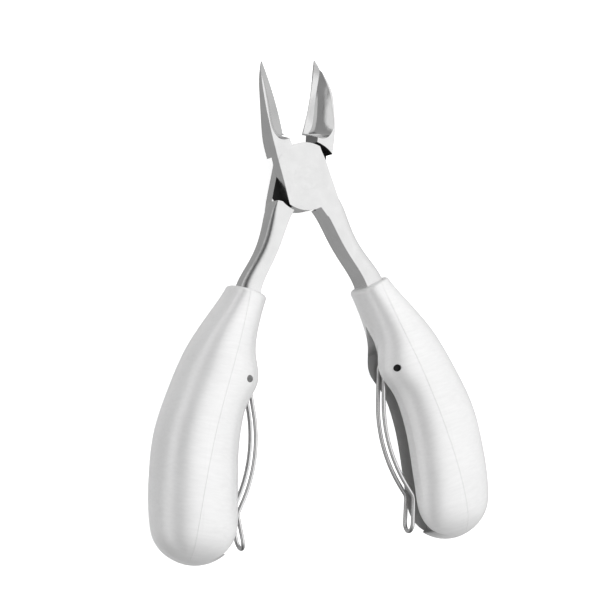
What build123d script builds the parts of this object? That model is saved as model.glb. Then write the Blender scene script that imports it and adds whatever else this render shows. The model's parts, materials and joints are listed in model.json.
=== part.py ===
"""Toenail nipper with two spring-loaded handles, standing with its jaws open.

Frame: millimetres. The tool lies flat, +Z up and along the pivot axis, jaws towards +Y.
Each lever is drawn with the tool shut, its pivot at the origin and its mid-plane at Z = 0.
It is then turned about the pivot to its rest place, where the jaws are open.
"""
import os
from math import acos, asin, atan2, cos, degrees, exp, hypot, radians, sin

from build123d import *

# ---- driving dimensions -------------------------------------------------------------------
HALF_OPEN = 13.5          # turn of each lever from shut to rest, degrees
PIVOT_Y = 38.6            # pivot to the middle of the tool's length, at rest
MID_Z = 9.9               # mid-plane above the surface the tool lies on

# head
HEAD_T = 9.4              # thickness of jaws, joint and shanks
JAW_LENGTH = 37.2         # pivot to jaw tips
EDGE_GAP = 0.03           # half the light left between the shut edges
TIP_LAND = 0.12           # half width of the jaws' blunted tips
PLATE_R = 10.3            # round ends of the joint plates
SHOULDER_R = 11.1         # concave shoulders round the plates' ends
LAP_GAP = 0.02            # half the gap between the joint plates
RELIEF = 1.75             # gap beside the bite, between the shoulders and the cutting edge
EDGE_FOOT = 13.9          # lower end of the cutting edges
DOME_TURN = 40.0          # turn of the shanks' domed front from the facets to the outer side, degrees

# pivot rivet, pressed into the front lever
RIVET_R = 3.0
RIVET_HEAD_R = 4.0
RIVET_HEAD_H = 1.0
RIVET_FIT = 0.03          # radial clearance in the rear lever

# handles
HANDLE_TOP = -35.5        # upper end of the handles' outline, above the collar's cut
HANDLE_END = -120.25      # lower end of the handles
COLLAR = ((4.0, -38.1), (19.0, -36.2))    # the collar's face, square to the shank
COLLAR_ROUND = 1.1
EAR_Y = -63.2             # middle of the swelling round the spring pin
EAR_RISE = 3.05
EAR_SPREAD = 4.5
WALL = 2.4                # shell thickness
SOLID_END = -52.0         # the handles are solid round the tang down to here
CHANNEL_W = 7.4           # spring channel
CHANNEL_END = -115.4      # its lower end
TROUGH_WALL = 1.8         # wall round the spring channel
TANG_FIT = 0.1            # clearance round the steel tang
SEAM_GAP = 0.02           # half the gap between the two shells of a handle

# springs
PIN = (9.65, -63.5)       # spring pin in the lever's frame
PIN_R = 1.1
PIN_LENGTH = 15.0
EYE_FIT = 0.08            # radial clearance of the eyes on the pin
WIRE_R = 0.635
STRAND_Z = 1.9            # strand to mid-plane beside the pin
SPLAY = 1.0               # each strand's lean away from the mid-plane, degrees

HALF_T = HEAD_T / 2
FAR = 60.0                # larger than any piece is wide

# ---- levers -------------------------------------------------------------------------------
# Down the shank: (Y, inner face, end of the flat facets, outer side)
SHANK_ROWS = (
    (-9.0, 1.4, 7.8, 8.15),
    (-14.5, 3.5, 7.2, 9.4),
    (-20.5, 4.7, 7.3, 10.0),
    (-28.0, 6.7, 9.2, 12.1),
    (-38.0, 9.0, 11.7, 15.3),
)
# Down the tang inside the handle: (Y, inner face, outer face, half thickness)
TANG_ROWS = (
    (-38.0, 9.9, 14.2, 3.6),
    (-52.0, 14.2, 18.4, 3.2),
    (-74.0, 18.6, 21.8, 2.4),
)
# Down the jaw's outer form: (Y, outer side, Z of the front at that side, its fall across the jaw,
# Z of the back face, radius between back and side, Z of the back of the cutting edge)
JAW_ROWS = (
    (3.0, 7.48, HALF_T, 0.0, -HALF_T, 1.6, -HALF_T),
    (7.0, 7.42, HALF_T, 0.0, -HALF_T, 1.6, -HALF_T),
    (11.5, 7.25, HALF_T, 0.0, -HALF_T, 1.5, -HALF_T),
    (15.0, 7.07, HALF_T, 0.6, -4.5, 1.9, -3.9),
    (19.0, 6.6, 4.27, 0.8, -4.0, 2.5, -2.85),
    (23.5, 5.87, 3.55, 0.8, -3.6, 3.2, -2.4),
    (28.0, 4.82, 2.44, 0.7, -3.4, 3.2, -2.45),
    (32.0, 3.16, 0.15, 0.5, -3.45, 1.8, -3.05),
    (35.0, 1.55, -1.75, 0.3, -3.7, 0.9, -3.5),
    (JAW_LENGTH, TIP_LAND, -3.25, 0.05, -3.75, 0.05, -3.7),
)
# Wall of the hollow grinding at two heights:
# (Z, side wall down the jaw, start and end of the rounded foot)
HOLLOW_LEVELS = (
    (-3.5, ((1.5, 38.0), (1.2, 34.0), (1.1, 28.0), (1.9, 21.5), (2.1, 16.0)), (1.5, 14.6), (0.3, 14.3)),
    (HALF_T + 0.3, ((4.2, 38.0), (4.7, 34.0), (5.45, 28.0), (6.25, 21.5), (6.5, 16.0)), (5.5, 13.5),
     (2.5, 12.3)),
)
# Down the sharpening bevel: (Y, Z at the cutting edge, Z at the bevel's width from it)
BEVEL_ROWS = (
    (12.0, -3.9, -3.2),
    (16.0, -3.1, -3.05),
    (20.0, -2.35, -2.8),
    (24.0, -2.07, -2.5),
    (28.0, -2.05, -2.05),
    (31.0, -2.25, -1.8),
    (34.0, -2.6, -1.8),
    (39.0, -3.4, -3.3),
)
BEVEL_WIDTH = 2.2
BEVEL_REACH = 3.0         # the bevel's surface is carried on this far under the hollow's wall
BITE_REACH = 2.0          # the grinding passes this far through the bite


def shank(fit):
    """The shank as a loft: flat inner face, short flat facets, domed front, rounded back."""
    half = HALF_T + fit
    sections = []
    for y, inner, facet, outer in SHANK_ROWS:
        dome = outer + fit - facet
        dome_radius = dome / sin(radians(DOME_TURN))
        with BuildSketch(Plane.XZ.offset(fit - y)) as section:
            with BuildLine():
                Polyline((facet, -half), (inner - fit, -half), (inner - fit, half), (facet, half))
                crown = CenterArc((facet, half - dome_radius), dome_radius, 90 - DOME_TURN, DOME_TURN)
                Line(crown @ 0, (facet + dome, 0))
                EllipticalCenterArc((facet, 0), dome, half, -90, arc_size=90)
            make_face()
        sections.append(section.sketch)
    with BuildPart() as bar:
        loft(sections)
        with BuildSketch(Plane.XY.offset(-half)):
            Rectangle(2 * FAR, 2 * FAR)
        extrude(amount=2 * half, mode=Mode.INTERSECT)
    return bar.part


def block_section(y, inner, outer, half_z):
    """A rectangle across the tang."""
    with BuildSketch(Plane.XZ.offset(-y)) as section:
        with Locations(((inner + outer) / 2, 0)):
            Rectangle(outer - inner, 2 * half_z)
    return section.sketch


def jaw_section(y, outer, front, fall, back, rounding, edge_back):
    """One section of the jaw's outer form, with a rounded corner between back and side."""
    centre = (rounding - outer, back + rounding)
    with BuildSketch(Plane.XZ.offset(-y)) as section:
        with BuildLine():
            corner = CenterArc(centre, rounding, 180, 90)
            Polyline(corner @ 1, (-EDGE_GAP, edge_back), (-EDGE_GAP, front - fall), (-outer, front),
                     corner @ 0)
        make_face()
    return section.sketch


def hollow_section(z, side, foot, foot_end):
    """One level of the hollow ground into the jaw, open past the cutting edge."""
    with BuildSketch(Plane.XY.offset(z)) as section:
        with BuildLine():
            Spline(*[(-x, y) for x, y in side], (-foot[0], foot[1]), (-foot_end[0], foot_end[1]))
            Polyline((-foot_end[0], foot_end[1]), (BITE_REACH, foot_end[1]), (BITE_REACH, side[0][1]),
                     (-side[0][0], side[0][1]))
        make_face()
    return section.sketch


def bevel_section(x):
    """What stays below the bevel at one place across the jaw."""
    surface = [(y, edge + (inner - edge) * x / BEVEL_WIDTH) for y, edge, inner in BEVEL_ROWS]
    with BuildSketch(Plane.YZ.offset(-x)) as section:
        with BuildLine():
            Spline(*surface)
            Polyline(surface[-1], (surface[-1][0], -HEAD_T), (surface[0][0], -HEAD_T), surface[0])
        make_face()
    return section.sketch


def hollow():
    """What the grinding wheel takes off the front of the jaw, down to the sharpening bevel."""
    with BuildPart() as cut:
        loft([hollow_section(*level) for level in HOLLOW_LEVELS])
        loft([bevel_section(x) for x in (-BITE_REACH, BEVEL_REACH)], mode=Mode.SUBTRACT)
    return cut.part


def rivet_blank(fit):
    """The rivet's shape, larger by a radial fit: a shank with two countersunk heads."""
    with BuildPart() as blank:
        with BuildSketch(Plane.XZ):
            Polygon((0, -HALF_T), (RIVET_HEAD_R + fit, -HALF_T),
                    (RIVET_R + fit, -HALF_T + RIVET_HEAD_H),
                    (RIVET_R + fit, HALF_T - RIVET_HEAD_H),
                    (RIVET_HEAD_R + fit, HALF_T), (0, HALF_T), align=None)
        revolve(axis=Axis.Z)
    return blank.part


def tang(fit):
    """The tang inside the handle, larger all round by a fit."""
    with BuildPart() as blade:
        loft([block_section(y - fit, inner - fit, outer + fit, half_z + fit)
              for y, inner, outer, half_z in TANG_ROWS], ruled=True)
    return blade.part


def lever(plate_side, rivet_fit):
    """One lever drawn shut, jaw at -X, shank at +X, its joint plate at +Z (1) or -Z (-1)."""
    with BuildPart() as piece:
        loft([jaw_section(*row) for row in JAW_ROWS])
        with BuildSketch(Plane.XY.offset(-HALF_T)):
            Polygon((-FAR, 0), (-EDGE_GAP, 0), (-EDGE_GAP, JAW_LENGTH), (-FAR, JAW_LENGTH), align=None)
        extrude(amount=HEAD_T, mode=Mode.INTERSECT)
        add(hollow(), mode=Mode.SUBTRACT)
        # shank and tang
        add(shank(0))
        add(tang(0))
        # shoulder round the other lever's plate, and the gap between it and the cutting edge
        with BuildSketch(Plane.XY.offset(plate_side * LAP_GAP)):
            Circle(SHOULDER_R)
        extrude(amount=-plate_side * HEAD_T, mode=Mode.SUBTRACT)
        with BuildSketch(Plane.XY.offset(-HALF_T)):
            Polygon((1, 8), (-RELIEF, 8), (-RELIEF, EDGE_FOOT - 1.5), (0.3 - RELIEF, EDGE_FOOT),
                    (1, EDGE_FOOT), align=None)
        extrude(amount=HEAD_T, mode=Mode.SUBTRACT)
        # this lever's plate
        with BuildSketch(Plane.XY.offset(plate_side * LAP_GAP)):
            with BuildSketch(mode=Mode.PRIVATE) as sides:
                Polygon((-7.2, 12), (-7.48, 4.6), (-7.6, -0.3), (-8.0, -8), (0, -12), (8.3, -12),
                        (8.1, -7), (7.75, -0.5), (7.6, 3), (7.15, 6), (6.8, 12), align=None)
            Circle(PLATE_R)
            add(sides.sketch, mode=Mode.INTERSECT)
            Polygon((0.8, -8), (3.0, -13.5), (8.0, -13.5), (8.15, -8.5), (7.9, -4.6), (6, 0), align=None)
        extrude(amount=plate_side * (HALF_T - LAP_GAP))
        add(rivet_blank(rivet_fit), mode=Mode.SUBTRACT)
    return piece.part


# ---- handles ------------------------------------------------------------------------------
# Down the handle: (Y, inner end, outer end, half depth) of its oval section, without the ear
HANDLE_ROWS = (
    (HANDLE_TOP, 5.2, 17.5, 6.5),
    (-41.0, 6.1, 19.8, 7.1),
    (-47.0, 6.8, 23.0, 8.0),
    (-57.0, 7.15, 27.7, 9.1),
    (-68.0, 7.4, 30.9, 9.7),
    (-83.0, 7.3, 33.6, 9.9),
    (-98.0, 5.2, 32.9, 9.7),
    (-108.0, 3.7, 31.2, 8.9),
    (-114.0, 5.3, 29.1, 7.4),
    (-118.0, 9.3, 25.1, 4.7),
    (HANDLE_END, 17.0, 17.0, 0.0),
)
HANDLE_STEPS = 32


def oval_at(turn):
    """The oval at a quarter-circle turn from 0 at the top to 90 degrees at the rounded end."""
    length = HANDLE_TOP - HANDLE_END
    knots = [degrees(asin((HANDLE_TOP - row[0]) / length)) for row in HANDLE_ROWS]
    k = max(i for i in range(len(knots) - 1) if knots[i] <= turn)
    span = knots[k + 1] - knots[k]
    part = (turn - knots[k]) / span

    def slope(i, column):
        low, high = max(i - 1, 0), min(i + 1, len(knots) - 1)
        return (HANDLE_ROWS[high][column] - HANDLE_ROWS[low][column]) / (knots[high] - knots[low])

    y = HANDLE_TOP - length * sin(radians(turn))
    values = []
    for column in (1, 2, 3):
        start, end = HANDLE_ROWS[k][column], HANDLE_ROWS[k + 1][column]
        values.append(start + (end - start) * part ** 2 * (3 - 2 * part)
                      + span * part * (1 - part) * (slope(k, column) * (1 - part)
                                                    - slope(k + 1, column) * part))
    inner, outer, half_depth = values
    inner -= EAR_RISE * exp(-((y - EAR_Y) / EAR_SPREAD) ** 2 / 2)
    return y, (inner + outer) / 2, (outer - inner) / 2, half_depth


def handle_blank(inset=0.0):
    """The handle's outer form as a loft of ovals, or a smaller one inside it."""
    sections = []
    for step in range(HANDLE_STEPS):
        y, centre, half_width, half_depth = oval_at(90 * step / (HANDLE_STEPS - 0.5))
        if half_depth < inset + 1 and inset:
            break
        with BuildSketch(Plane.XZ.offset(-y)) as section:
            with Locations((centre, 0)):
                Ellipse(half_width - inset, half_depth - inset)
        sections.append(section.sketch)
    with BuildPart() as blank:
        loft(sections)
        if not inset:
            with BuildSketch(Plane.XY.offset(-FAR / 4)):
                Polygon(*COLLAR, (FAR, 0), (-FAR, 0), align=None)
            extrude(amount=FAR / 2, mode=Mode.SUBTRACT)
            fillet(blank.faces().sort_by(Axis.Y)[-1].edges(), COLLAR_ROUND)
    return blank.part


def channel(extra=0.0):
    """The spring channel, pointed at the top, or the trough round it when enlarged."""
    half = CHANNEL_W / 2 + extra
    with BuildPart() as slot:
        with BuildSketch(Plane.YZ):
            Polygon((-49 + 2 * extra, 0), (-54, 0.62 * half), (-58.5, half), (-FAR * 2, half),
                    (-FAR * 2, -half), (-58.5, -half), (-54, -0.62 * half), align=None)
        extrude(amount=FAR / 2)
        with BuildSketch(Plane.XY.offset(-FAR / 4)):
            with BuildLine():
                Spline((12.2 + extra, -44), (12.9 + extra, -62), (12.7 + extra, -82),
                       (11.2 + extra, -103), (9.2 + extra, CHANNEL_END - extra))
                Polyline((9.2 + extra, CHANNEL_END - extra), (-5, CHANNEL_END - extra), (-5, -44),
                         (12.2 + extra, -44))
            make_face()
        extrude(amount=FAR / 2, mode=Mode.INTERSECT)
    return slot.part


def seam_side(gap):
    """Everything outside the seam between a handle's inner and outer shells."""
    with BuildPart() as side:
        with BuildSketch(Plane.XY.offset(-FAR / 4)):
            with BuildLine():
                Spline((12.7 + gap, -30), (14.4 + gap, -50), (17.6 + gap, -73),
                       (19.0 + gap, -92), (17.4 + gap, -FAR * 2.1))
                Polyline((17.4 + gap, -FAR * 2.1), (FAR, -FAR * 2.1), (FAR, -30), (12.7 + gap, -30))
            make_face()
        extrude(amount=FAR / 2)
    return side.part


def handle_shells():
    """The inner shell, with the spring channel, and the outer shell, both round the tang."""
    blank = handle_blank()
    with BuildPart() as cavity:
        add(handle_blank(WALL))
        with BuildSketch(Plane.XZ.offset(-SOLID_END)):
            Rectangle(FAR * 2, FAR)
        extrude(amount=-FAR, mode=Mode.SUBTRACT)
    with BuildPart() as trough:
        add(channel(TROUGH_WALL))
        add(blank, mode=Mode.INTERSECT)
    with BuildPart() as whole:
        add(blank)
        add(cavity.part, mode=Mode.SUBTRACT)
        add(trough.part)
        add(channel(), mode=Mode.SUBTRACT)
        add(shank(TANG_FIT), mode=Mode.SUBTRACT)
        add(tang(TANG_FIT), mode=Mode.SUBTRACT)
        with Locations((*PIN, 0)):
            Cylinder(PIN_R, FAR, mode=Mode.SUBTRACT)
    with BuildPart() as inner:
        add(whole.part)
        add(seam_side(-SEAM_GAP), mode=Mode.SUBTRACT)
    with BuildPart() as outer:
        add(whole.part)
        add(seam_side(SEAM_GAP), mode=Mode.INTERSECT)
    return inner.part, outer.part


# ---- springs ------------------------------------------------------------------------------
EYE_R = PIN_R + EYE_FIT + WIRE_R          # centreline of the eye round the pin
BOW_CORNER = (0.0, -86.2)
BOW_R = 45.0
KINK = (5.1, -103.2)
TAIL_END = (2.3, -110.6)
KINK_R = 3.0
EYE_TURN = 270         # turn of wire round the pin, degrees


def spring():
    """One hairpin spring: two bowed strands with an eye each, joined by a bend at the tail."""
    corners = [(x - PIN[0], y - PIN[1]) for x, y in (BOW_CORNER, KINK, TAIL_END)]
    # the strand leaves the eye along its tangent, towards the bow's corner
    bow_x, bow_y = corners[0]
    leave = degrees(atan2(bow_y, bow_x) - acos(EYE_R / hypot(bow_x, bow_y)))
    strands = []
    for side in (1, -1):
        lean = radians(side * SPLAY)
        eye_plane = Plane(origin=(*PIN, side * STRAND_Z), x_dir=(1, 0, 0), z_dir=(0, sin(lean), cos(lean)))
        with BuildLine(eye_plane) as strand:
            eye = CenterArc((0, 0), EYE_R, leave - EYE_TURN, EYE_TURN)
            FilletPolyline(eye @ 1, *corners, radius=(BOW_R, KINK_R))
        strands.append(strand.wires()[0])
    with BuildLine() as path:
        add(strands)
        TangentArc(strands[0] @ 1, strands[1] @ 1, tangent=strands[0] % 1)
    route = path.wires()[0]
    with BuildPart() as wire:
        with BuildSketch(Plane(origin=route @ 0, z_dir=route % 0)):
            Circle(WIRE_R)
        sweep(path=route)
    return wire.part


# ---- the tool at rest ---------------------------------------------------------------------
def stand(drawn, label, mirrored=False):
    """Turn a piece drawn shut to its rest place; mirrored pieces belong to the rear lever."""
    turn = -HALF_OPEN if mirrored else HALF_OPEN
    with BuildPart() as piece:
        with Locations(Location((0, PIVOT_Y, MID_Z), (0, 0, turn))):
            if mirrored:
                add(drawn.mirror(Plane.YZ))
            else:
                add(drawn)
    piece.part.label = label
    export_step(piece.part, f"parts/{label}.step")
    box = piece.part.bounding_box()
    print(f"{label}: {piece.part.volume:.0f} mm3, {box.min} to {box.max}")


os.makedirs("parts", exist_ok=True)

stand(lever(1, 0.0), "front_lever")
stand(lever(-1, RIVET_FIT), "rear_lever", mirrored=True)
stand(rivet_blank(0.0), "pivot_rivet")

inner_shell, outer_shell = handle_shells()
hairpin = spring()
with BuildPart() as pin:
    with Locations((*PIN, 0)):
        Cylinder(PIN_R, PIN_LENGTH)
for side, mirrored in (("right", False), ("left", True)):
    stand(inner_shell, f"{side}_inner_shell", mirrored)
    stand(outer_shell, f"{side}_outer_shell", mirrored)
    stand(pin.part, f"{side}_spring_pin", mirrored)
    stand(hairpin, f"{side}_spring", mirrored)
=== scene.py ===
"""Looks for the toenail nipper: camera, soft studio, and a procedural finish for every piece.

Metres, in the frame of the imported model: the tool lies flat, +Z up, jaws towards +Y.
"""
import json
from math import radians

import bpy
from mathutils import Matrix, Vector

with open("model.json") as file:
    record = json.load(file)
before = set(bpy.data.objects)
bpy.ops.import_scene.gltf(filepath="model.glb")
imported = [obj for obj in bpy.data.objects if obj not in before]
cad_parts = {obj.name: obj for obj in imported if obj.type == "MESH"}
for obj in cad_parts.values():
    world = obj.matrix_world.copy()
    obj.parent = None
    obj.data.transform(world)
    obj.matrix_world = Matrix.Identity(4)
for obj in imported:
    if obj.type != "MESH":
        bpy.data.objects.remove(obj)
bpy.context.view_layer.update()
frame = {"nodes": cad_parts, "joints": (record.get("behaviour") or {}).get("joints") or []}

MM = 0.001
PIVOT = Vector(next(j["pos_m"] for j in frame["joints"] if j["name"] == "jaw_pivot"))
HALF_OPEN = radians(13.5)       # turn of each lever from shut to rest

# ---- camera -------------------------------------------------------------------------------
VIEW_YAW = radians(23.43)       # the tool's turn about its own length, seen from the camera
VIEW_PITCH = radians(-1.48)
VIEW_ROLL = radians(4.04)
VIEW_DISTANCE = 672.6 * MM
AIM_RIGHT = 0.44 * MM           # the view's middle, beside and below the pivot
AIM_DOWN = 38.83 * MM
LENS = 130.57                   # millimetres, on a 36 mm sensor

# ---- where the finishes and the painted shade lie, from the pivot, on a tool turned to shut ---
LAP_RADIUS = 11.3 * MM
LAP_HALF_HEIGHT = 0.15 * MM
SHOULDER_RADII = (10.9 * MM, 11.25 * MM)
SHOULDER_FACING = (-20 * MM, -7 * MM)   # distance from the pivot along the face's own normal
RELIEF_Y = (8 * MM, 13.7 * MM)
BEVEL_Y = (13.2 * MM, 40 * MM)
BEVEL_Z = (-4 * MM, -1.75 * MM)
HOLLOW_Y = (14 * MM, 40 * MM)
FLUSH_RADIUS = 4.4 * MM                 # the rivet's head and a little round it
CHANNEL_X = (-50 * MM, 13.2 * MM)       # towards the other handle
CHANNEL_Y = (-115.3 * MM, -58 * MM)
CHANNEL_Z = (-3.72 * MM, 3.72 * MM)

# ---- tones and roughness ------------------------------------------------------------------
STEEL_TONES = (0.80, 0.86)
STEEL_ROUGHNESS = (0.14, 0.26)
HOLLOW_ROUGHNESS = 0.1
# painted shade: near black on the lap faces in the joint, dark grey on the relief wall at the jaws' base
LAP_SHADE_TONE = 0.045
RELIEF_SHADE_TONE = 0.30
UNPOLISHED_ROUGHNESS = 0.6
SILVER_TONES = (0.835, 0.885)
SILVER_ROUGHNESS = (0.29, 0.37)
SILVER_METALLIC = 0.45
# painted shade inside the handle's channel
CHANNEL_SHADE_TONE = 0.5

# ---- studio -------------------------------------------------------------------------------
# Brightness round the tool's length, by degrees from straight up towards +X
STUDIO_TONES = (
    (-180, 0.36), (-140, 0.33), (-115, 0.28), (-90, 0.26), (-70, 0.27), (-61, 0.75), (-48, 0.75),
    (-40, 0.30), (-33, 0.10), (-21, 0.08), (-13, 0.50), (-5, 0.88), (5, 0.97), (40, 1.0), (60, 0.95),
    (85, 0.85), (110, 0.60), (140, 0.32), (180, 0.36),
)
FOOT_Y = (-0.95, -0.4)          # the direction's Y, from dimmest to full
FOOT_STRENGTH = 0.3             # what is left past the handles' ends
SOFTBOX_PLACE = (0.15, 0.2, 1.25)
SOFTBOX_SIZE = 1.8
SOFTBOX_WATTS = 10.0
FLOOR_REACH = 6.0
FLOOR_TONE = 0.9
FLOOR_GLOW = 0.7


def add_camera():
    """The camera looks down on the tool from the front left."""
    turn = (Matrix.Rotation(VIEW_ROLL, 3, "Z") @ Matrix.Rotation(VIEW_PITCH, 3, "X")
            @ Matrix.Rotation(VIEW_YAW, 3, "Y")).transposed()
    data = bpy.data.cameras.new("camera")
    data.lens = LENS
    data.sensor_width = 36.0
    camera = bpy.data.objects.new("camera", data)
    place = PIVOT + turn @ Vector((AIM_RIGHT, -AIM_DOWN, VIEW_DISTANCE))
    camera.matrix_world = Matrix.Translation(place) @ turn.to_4x4()
    bpy.context.scene.collection.objects.link(camera)
    bpy.context.scene.camera = camera


# ---- node helpers -------------------------------------------------------------------------
def new_material(name):
    """A node material with its Principled shader."""
    material = bpy.data.materials.new(name)
    material.use_nodes = True
    return material, material.node_tree, material.node_tree.nodes["Principled BSDF"]


def add_node(tree, kind, inputs=None, **settings):
    """A shader node with its settings, and its inputs linked or given a value."""
    node = tree.nodes.new(kind)
    for key, value in settings.items():
        setattr(node, key, value)
    for key, value in (inputs or {}).items():
        if isinstance(value, bpy.types.NodeSocket):
            tree.links.new(value, node.inputs[key])
        else:
            node.inputs[key].default_value = value
    return node


def maths(tree, operation, first, second=0.0, clamp=False):
    """One maths node's result."""
    return add_node(tree, "ShaderNodeMath", {0: first, 1: second},
                    operation=operation, use_clamp=clamp).outputs[0]


def product(tree, *masks):
    """Masks multiplied together: 1 where every one of them is 1."""
    result = masks[0]
    for mask in masks[1:]:
        result = maths(tree, "MULTIPLY", result, mask)
    return result


def between(tree, value, low, high, soft):
    """1 where value lies from low to high, with soft ends."""
    rise = add_node(tree, "ShaderNodeMapRange",
                    {"Value": value, "From Min": low - soft, "From Max": low})
    fall = add_node(tree, "ShaderNodeMapRange",
                    {"Value": value, "From Min": high, "From Max": high + soft,
                     "To Min": 1.0, "To Max": 0.0})
    return product(tree, rise.outputs[0], fall.outputs[0])


def ramp(tree, value, stops):
    """A ramp of greys from (position, tone) stops."""
    node = add_node(tree, "ShaderNodeValToRGB", {"Fac": value})
    elements = node.color_ramp.elements
    while len(elements) < len(stops):
        elements.new(0.5)
    for element, (position, tone) in zip(elements, stops):
        element.position = position
        element.color = (tone, tone, tone, 1)
    return node.outputs["Color"]


def noise(tree, coordinates, scale, stretch=(1, 1, 1), detail=4.0, rough=0.55):
    """Fractal noise on stretched coordinates."""
    mapping = add_node(tree, "ShaderNodeMapping", {"Vector": coordinates, "Scale": stretch})
    return add_node(tree, "ShaderNodeTexNoise",
                    {"Vector": mapping.outputs[0], "Scale": scale, "Detail": detail,
                     "Roughness": rough}).outputs["Fac"]


def mix_tone(tree, factor, colour, tone):
    """A colour mixed with a grey tone."""
    node = add_node(tree, "ShaderNodeMix", {"Factor": factor}, data_type="RGBA")
    tree.links.new(colour, node.inputs[6])
    node.inputs[7].default_value = (tone, tone, tone, 1)
    return node.outputs[2]


def add_bump(tree, shader, height, strength, distance, normal):
    """Fine relief over a normal, given to the shader."""
    bump = add_node(tree, "ShaderNodeBump",
                    {"Strength": strength, "Distance": distance, "Height": height, "Normal": normal})
    tree.links.new(bump.outputs[0], shader.inputs["Normal"])


# ---- materials ----------------------------------------------------------------------------
def from_pivot(tree, coordinates, side):
    """Coordinates from the pivot at rest, and with the lever turned to where it is when shut.

    side is 1 for the lever whose jaw lies at -X when the tool is shut, and -1 for the other.
    """
    rest = add_node(tree, "ShaderNodeMapping",
                    {"Vector": coordinates.outputs["Object"], "Location": tuple(-PIVOT)}).outputs[0]
    shut = add_node(tree, "ShaderNodeMapping",
                    {"Vector": rest, "Rotation": (0, 0, -side * HALF_OPEN)}).outputs[0]
    return rest, shut


def lever_steel(name, side, bevel_shade_tone, shoulder_shade_tone):
    """Ground stainless steel with a fine grain; painted shade darkens its bevel and relief wall, and the
    lap faces and shoulders in the joint.
    """
    material, tree, shader = new_material(name)
    coordinates = add_node(tree, "ShaderNodeTexCoord")
    rest, shut = from_pivot(tree, coordinates, side)
    place = add_node(tree, "ShaderNodeSeparateXYZ", {"Vector": shut})
    height = place.outputs["Z"]
    along = place.outputs["Y"]
    facing = add_node(tree, "ShaderNodeSeparateXYZ", {"Vector": coordinates.outputs["Normal"]})
    across = add_node(tree, "ShaderNodeCombineXYZ", {"X": place.outputs["X"], "Y": along})
    radius = add_node(tree, "ShaderNodeVectorMath", {0: across.outputs[0]},
                      operation="LENGTH").outputs["Value"]
    outward = add_node(tree, "ShaderNodeVectorMath", {0: rest, 1: coordinates.outputs["Normal"]},
                       operation="DOT_PRODUCT").outputs["Value"]
    upright = between(tree, facing.outputs["Z"], -0.5, 0.5, 0.2)
    level = maths(tree, "SUBTRACT", 1.0, upright)
    to_bite = between(tree, maths(tree, "MULTIPLY", facing.outputs["X"], float(side)), 0.45, 1.1, 0.1)

    # painted shade: the lap faces and the shoulders round them are painted dark where they lie in shade in
    # the joint, and made rough
    lap_shade = product(tree, level,
                  between(tree, height, -LAP_HALF_HEIGHT, LAP_HALF_HEIGHT, 0.05 * MM),
                  between(tree, radius, 0.0, LAP_RADIUS, 0.2 * MM))
    shoulder_shade = product(tree, between(tree, radius, *SHOULDER_RADII, 0.1 * MM),
                       between(tree, outward, *SHOULDER_FACING, 1 * MM))
    # painted shade on the relief wall at the jaw's base
    relief_shade = product(tree, upright, to_bite, between(tree, along, *RELIEF_Y, 0.2 * MM))
    # painted shade on the bevel
    bevel_shade = product(tree, level, between(tree, along, *BEVEL_Y, 0.8 * MM),
                    between(tree, height, *BEVEL_Z, 0.1 * MM))
    hollow = product(tree, to_bite, between(tree, along, *HOLLOW_Y, 0.5 * MM))

    blotch = noise(tree, coordinates.outputs["Object"], 260.0, detail=3.0)
    grain = noise(tree, shut, 900.0, stretch=(6.0, 0.35, 6.0), detail=5.0, rough=0.7)
    colour = ramp(tree, blotch, ((0.3, STEEL_TONES[0]), (0.7, STEEL_TONES[1])))
    for mask, tone in ((bevel_shade, bevel_shade_tone), (relief_shade, RELIEF_SHADE_TONE),
                       (shoulder_shade, shoulder_shade_tone), (lap_shade, LAP_SHADE_TONE)):
        colour = mix_tone(tree, mask, colour, tone)
    tree.links.new(colour, shader.inputs["Base Color"])

    gloss = add_node(tree, "ShaderNodeMapRange",
                     {"Value": grain, "To Min": STEEL_ROUGHNESS[0], "To Max": STEEL_ROUGHNESS[1]})
    fine = add_node(tree, "ShaderNodeMix",
                    {"Factor": hollow, "A": gloss.outputs[0], "B": HOLLOW_ROUGHNESS})
    dull = maths(tree, "MAXIMUM", lap_shade, shoulder_shade, clamp=True)
    rough = add_node(tree, "ShaderNodeMix",
                     {"Factor": dull, "A": fine.outputs[0], "B": UNPOLISHED_ROUGHNESS})
    tree.links.new(rough.outputs[0], shader.inputs["Roughness"])
    shader.inputs["Metallic"].default_value = 1.0

    # softened edges, but not round the rivet, which is ground flush with its lever
    soft = add_node(tree, "ShaderNodeBevel", {"Radius": 0.18 * MM}, samples=6)
    flush = between(tree, radius, 0.0, FLUSH_RADIUS, 0.1 * MM)
    edge = add_node(tree, "ShaderNodeMix", {"Factor": flush}, data_type="VECTOR")
    tree.links.new(soft.outputs[0], edge.inputs[4])
    tree.links.new(add_node(tree, "ShaderNodeNewGeometry").outputs["Normal"], edge.inputs[5])
    add_bump(tree, shader, grain, 0.18, 0.01 * MM, edge.outputs[1])
    return material


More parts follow.
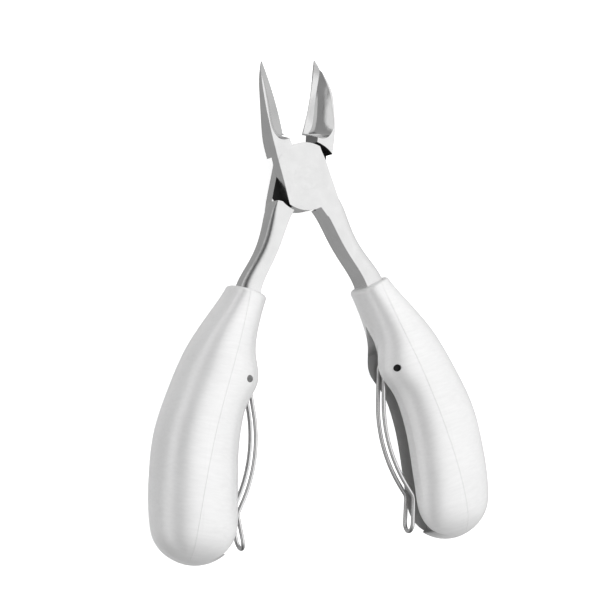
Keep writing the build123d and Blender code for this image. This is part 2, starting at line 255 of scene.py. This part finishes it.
def handle_silver(name, side):
    """Satin silver finish over moulded plastic, faintly brushed across, with painted shade inside the
    channel.
    """
    material, tree, shader = new_material(name)
    coordinates = add_node(tree, "ShaderNodeTexCoord")
    shut = from_pivot(tree, coordinates, side)[1]
    place = add_node(tree, "ShaderNodeSeparateXYZ", {"Vector": shut})
    inward = maths(tree, "MULTIPLY", place.outputs["X"], float(side))
    # painted shade: the inside of the channel is painted darker
    channel_shade = product(tree, between(tree, place.outputs["Z"], *CHANNEL_Z, 0.02 * MM),
                      between(tree, place.outputs["Y"], *CHANNEL_Y, 3 * MM),
                      between(tree, inward, *CHANNEL_X, 0.2 * MM))
    speckle = noise(tree, shut, 1500.0, detail=2.0, rough=0.6)
    brushed = noise(tree, shut, 300.0, stretch=(0.4, 4.0, 4.0), detail=3.0)
    cloud = noise(tree, shut, 60.0, detail=3.0)
    mottle = maths(tree, "ADD", maths(tree, "MULTIPLY", brushed, 0.6), maths(tree, "MULTIPLY", cloud, 0.4))
    colour = ramp(tree, mottle, ((0.35, SILVER_TONES[0]), (0.65, SILVER_TONES[1])))
    tree.links.new(mix_tone(tree, channel_shade, colour, CHANNEL_SHADE_TONE), shader.inputs["Base Color"])
    satin = ramp(tree, cloud, ((0.3, SILVER_ROUGHNESS[0]), (0.7, SILVER_ROUGHNESS[1])))
    tree.links.new(satin, shader.inputs["Roughness"])
    shader.inputs["Metallic"].default_value = SILVER_METALLIC
    edge = add_node(tree, "ShaderNodeBevel", {"Radius": 0.05 * MM}, samples=6)
    add_bump(tree, shader, speckle, 0.06, 0.02 * MM, edge.outputs[0])
    return material


def plain_metal(name, tones, roughness, scale, softness):
    """Metal whose tone and roughness each vary a little between two values."""
    material, tree, shader = new_material(name)
    where = add_node(tree, "ShaderNodeTexCoord").outputs["Object"]
    grain = noise(tree, where, scale)
    tree.links.new(ramp(tree, grain, ((0.3, tones[0]), (0.7, tones[1]))), shader.inputs["Base Color"])
    gloss = add_node(tree, "ShaderNodeMapRange",
                     {"Value": grain, "To Min": roughness[0], "To Max": roughness[1]})
    tree.links.new(gloss.outputs[0], shader.inputs["Roughness"])
    shader.inputs["Metallic"].default_value = 1.0
    edge = add_node(tree, "ShaderNodeBevel", {"Radius": softness}, samples=4)
    add_bump(tree, shader, grain, 0.1, 0.01 * MM, edge.outputs[0])
    return material


def dress(node, material):
    """Give a CAD node its finish."""
    piece = frame["nodes"][node]
    piece.data.materials.clear()
    piece.data.materials.append(material)


# ---- surroundings -------------------------------------------------------------------------
def add_world():
    """A room whose brightness changes round the tool's length, dim past the handles' ends."""
    world = bpy.data.worlds.new("studio")
    bpy.context.scene.world = world
    world.use_nodes = True
    tree = world.node_tree
    direction = add_node(tree, "ShaderNodeTexCoord").outputs["Generated"]
    part = add_node(tree, "ShaderNodeSeparateXYZ", {"Vector": direction})
    angle = maths(tree, "ARCTAN2", part.outputs["X"], part.outputs["Z"])
    turn = add_node(tree, "ShaderNodeMapRange",
                    {"Value": angle, "From Min": radians(-180), "From Max": radians(180)})
    tone = ramp(tree, turn.outputs[0], [((degree + 180) / 360, tone) for degree, tone in STUDIO_TONES])
    tree.links.new(tone, tree.nodes["Background"].inputs["Color"])
    foot = add_node(tree, "ShaderNodeMapRange",
                    {"Value": part.outputs["Y"], "From Min": FOOT_Y[0], "From Max": FOOT_Y[1],
                     "To Min": FOOT_STRENGTH, "To Max": 1.0})
    tree.links.new(foot.outputs[0], tree.nodes["Background"].inputs["Strength"])


def add_softbox():
    """One large soft light above the tool, which the steel does not mirror."""
    data = bpy.data.lights.new("softbox", "AREA")
    data.shape = "DISK"
    data.size = SOFTBOX_SIZE
    data.energy = SOFTBOX_WATTS
    light = bpy.data.objects.new("softbox", data)
    light.location = PIVOT + Vector(SOFTBOX_PLACE)
    light.rotation_euler = (light.location - PIVOT).to_track_quat("Z", "Y").to_euler()
    light.visible_glossy = False
    bpy.context.scene.collection.objects.link(light)


def add_floor():
    """A glowing white table under the tool, which the steel does not mirror."""
    mesh = bpy.data.meshes.new("floor")
    corners = [(-FLOOR_REACH, -FLOOR_REACH, 0), (FLOOR_REACH, -FLOOR_REACH, 0),
               (FLOOR_REACH, FLOOR_REACH, 0), (-FLOOR_REACH, FLOOR_REACH, 0)]
    mesh.from_pydata(corners, [], [(0, 1, 2, 3)])
    floor = bpy.data.objects.new("floor", mesh)
    bpy.context.scene.collection.objects.link(floor)
    material, _, shader = new_material("floor_paint")
    shader.inputs["Base Color"].default_value = (FLOOR_TONE, FLOOR_TONE, FLOOR_TONE, 1)
    shader.inputs["Roughness"].default_value = 0.9
    shader.inputs["Emission Color"].default_value = (1, 1, 1, 1)
    shader.inputs["Emission Strength"].default_value = FLOOR_GLOW
    mesh.materials.append(material)
    floor.visible_glossy = False


bpy.context.scene.view_settings.view_transform = "Standard"
add_camera()
add_world()
add_softbox()
add_floor()

# tones that differ from one side to the other follow the photo: painted shade on the levers' bevels and
# shoulders, and on the spring pins below
front_steel = lever_steel("front_lever_steel", 1, bevel_shade_tone=0.52, shoulder_shade_tone=0.35)
rear_steel = lever_steel("rear_lever_steel", -1, bevel_shade_tone=0.83, shoulder_shade_tone=0.045)
rivet_steel = plain_metal("rivet_steel", STEEL_TONES, roughness=(0.18, 0.26), scale=600.0,
                          softness=0.02 * MM)
chrome = plain_metal("spring_chrome", (0.74, 0.84), roughness=(0.03, 0.07), scale=500.0,
                     softness=0.02 * MM)

dress("front_lever", front_steel)
dress("rear_lever", rear_steel)
dress("pivot_rivet", rivet_steel)
# painted shade on the spring pins: the right one is painted much darker than the left
for side, turned, pin_shade_tone in (("right", 1, 0.015), ("left", -1, 0.16)):
    silver = handle_silver(f"{side}_handle_silver", turned)
    pin_steel = plain_metal(f"{side}_pin_steel", (pin_shade_tone, 2 * pin_shade_tone), roughness=(0.4, 0.6),
                            scale=900.0, softness=0.12 * MM)
    dress(f"{side}_inner_shell", silver)
    dress(f"{side}_outer_shell", silver)
    dress(f"{side}_spring_pin", pin_steel)
    dress(f"{side}_spring", chrome)
